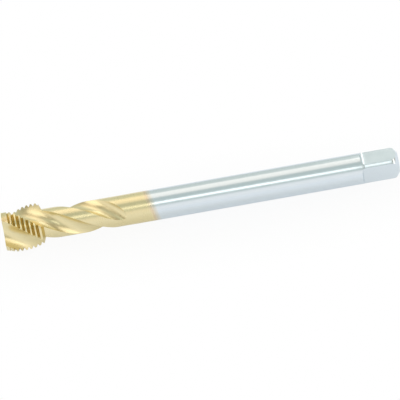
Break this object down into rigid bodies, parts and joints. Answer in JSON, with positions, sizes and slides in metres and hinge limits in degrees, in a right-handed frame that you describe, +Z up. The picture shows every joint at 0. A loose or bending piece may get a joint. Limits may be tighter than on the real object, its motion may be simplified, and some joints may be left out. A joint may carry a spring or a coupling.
{
  "type": "thread tap",
  "caption": "Spiral-fluted machine tap with a short gold-coated cutting end, a slim plain steel shank and a driving square.",
  "frame": {"origin": "under the middle of the tap's length, at the level of the lowest thread crest", "axes": "+X along the tool axis from the cutting end to the driving square, +Z up, square to two of the driving flats, +Y to the left of +X"},
  "size_m": [0.09, 0.01, 0.01],
  "materials": {
    "tool_steel": "ground"
  },
  "bodies": {
    "root": {"tap": "tool_steel"}
  },
  "joints": []
}
